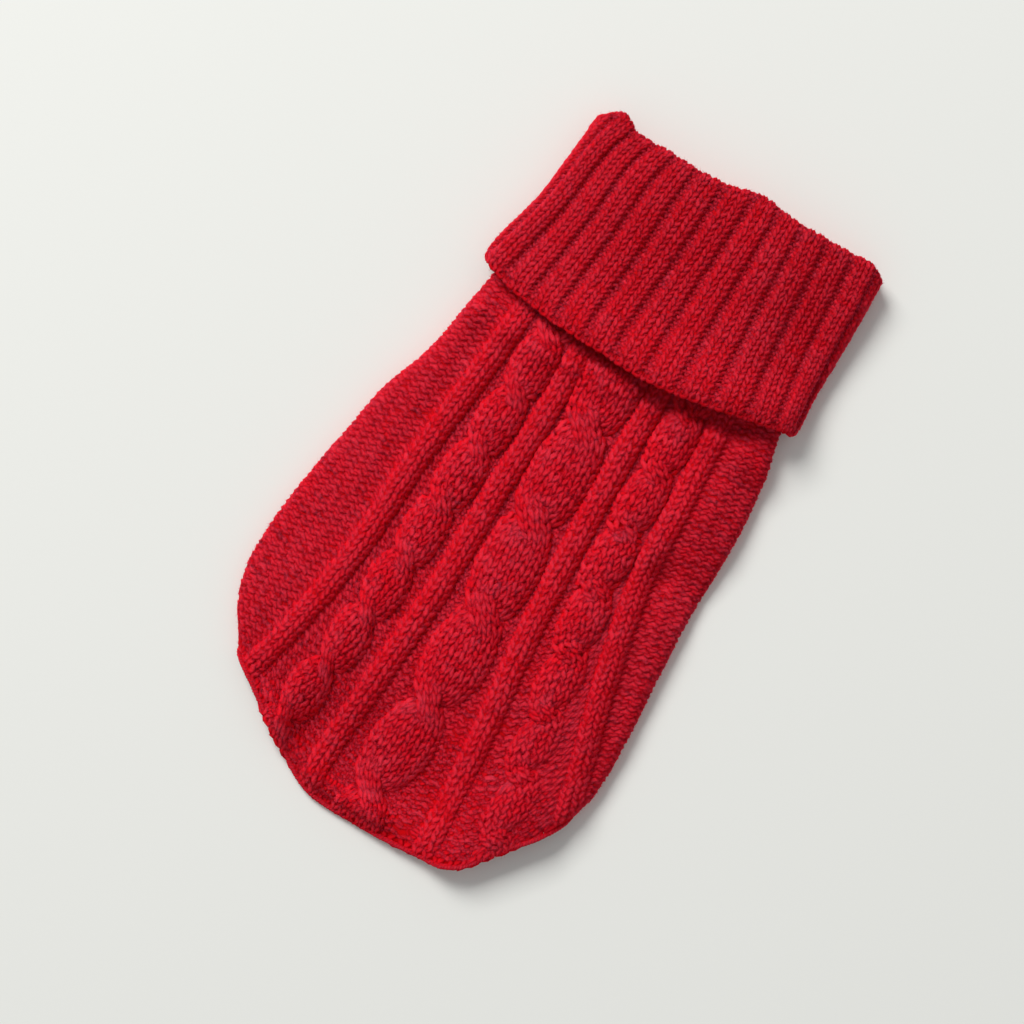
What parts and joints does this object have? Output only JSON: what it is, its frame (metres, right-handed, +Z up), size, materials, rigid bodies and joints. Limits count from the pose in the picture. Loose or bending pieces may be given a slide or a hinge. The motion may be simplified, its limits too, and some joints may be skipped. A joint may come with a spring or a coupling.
{
  "type": "cat sweater",
  "caption": "Cable-knit sweater for a cat, lying flat with its back up: tapered body with a rounded hem and a wide ribbed turtleneck folded down.",
  "frame": {"origin": "on the surface the sweater lies on, under the middle of its bounding box", "axes": "+Z up, out of the sweater's back; +Y along the back from the hem to the collar; +X across, to the right as seen from above with the collar up"},
  "size_m": [0.1685, 0.2998, 0.015],
  "materials": {
    "cable_knit": "soft red wool, cables, ribs and purl ground, slight nap",
    "plain_knit": "soft red wool, plain knitting, slight nap",
    "rib_knit": "soft red wool, two-by-two rib, slight nap"
  },
  "bodies": {
    "root": {"back": "cable_knit", "belly": "plain_knit", "collar": "rib_knit"}
  },
  "joints": []
}
